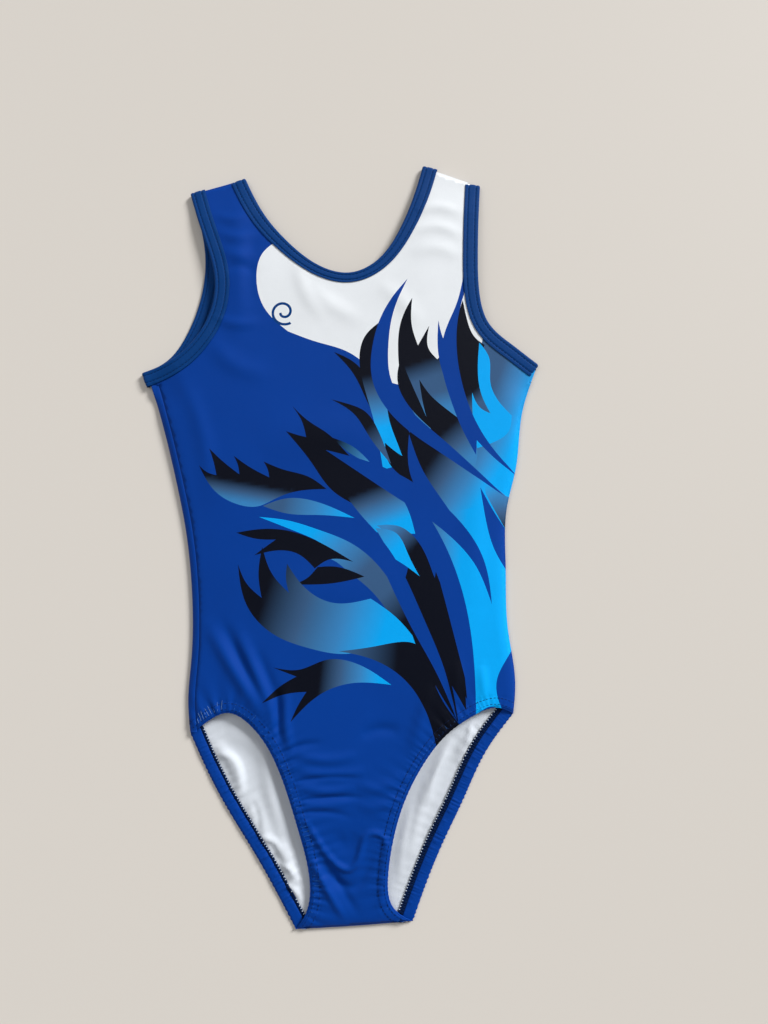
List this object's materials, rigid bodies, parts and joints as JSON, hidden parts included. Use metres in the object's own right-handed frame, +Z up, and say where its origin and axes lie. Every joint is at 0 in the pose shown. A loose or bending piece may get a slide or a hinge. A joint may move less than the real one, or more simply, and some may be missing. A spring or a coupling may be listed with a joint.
{
  "type": "gymnastics leotard",
  "caption": "Sleeveless child's gymnastics leotard lying flat, with a scoop neck, bound neck and armholes, elasticated leg hems and a lined gusset.",
  "frame": {"origin": "middle of the footprint, on the flat underside of the back panel", "axes": "+Y from the crotch to the shoulders, +X towards the wearer's left, +Z up out of the front"},
  "size_m": [0.298, 0.56, 0.0102],
  "materials": {
    "printed_knit": "smooth knit with a soft sheen, printed outside and white inside",
    "binding_knit": "plain knit with a soft sheen",
    "lining_knit": "matt fine knit",
    "elastic": "matt",
    "overlock_thread": "matt thread",
    "seam_thread": "matt thread",
    "stitch_thread": "matt thread"
  },
  "bodies": {
    "root": {"front_panel": "printed_knit", "back_panel": "printed_knit", "gusset_lining": "lining_knit", "neck_binding": "binding_knit", "armhole_binding_left": "binding_knit", "armhole_binding_right": "binding_knit", "neck_elastic": "elastic", "armhole_elastic_left": "elastic", "armhole_elastic_right": "elastic", "leg_elastic_left": "elastic", "leg_elastic_right": "elastic", "leg_overlock_left": "overlock_thread", "leg_overlock_right": "overlock_thread", "side_seam_left": "seam_thread", "side_seam_right": "seam_thread", "shoulder_seam_left": "seam_thread", "shoulder_seam_right": "seam_thread", "crotch_seam": "seam_thread", "neck_topstitch": "stitch_thread", "armhole_topstitch_left": "stitch_thread", "armhole_topstitch_right": "stitch_thread", "leg_topstitch_left": "stitch_thread", "leg_topstitch_right": "stitch_thread"}
  },
  "joints": []
}
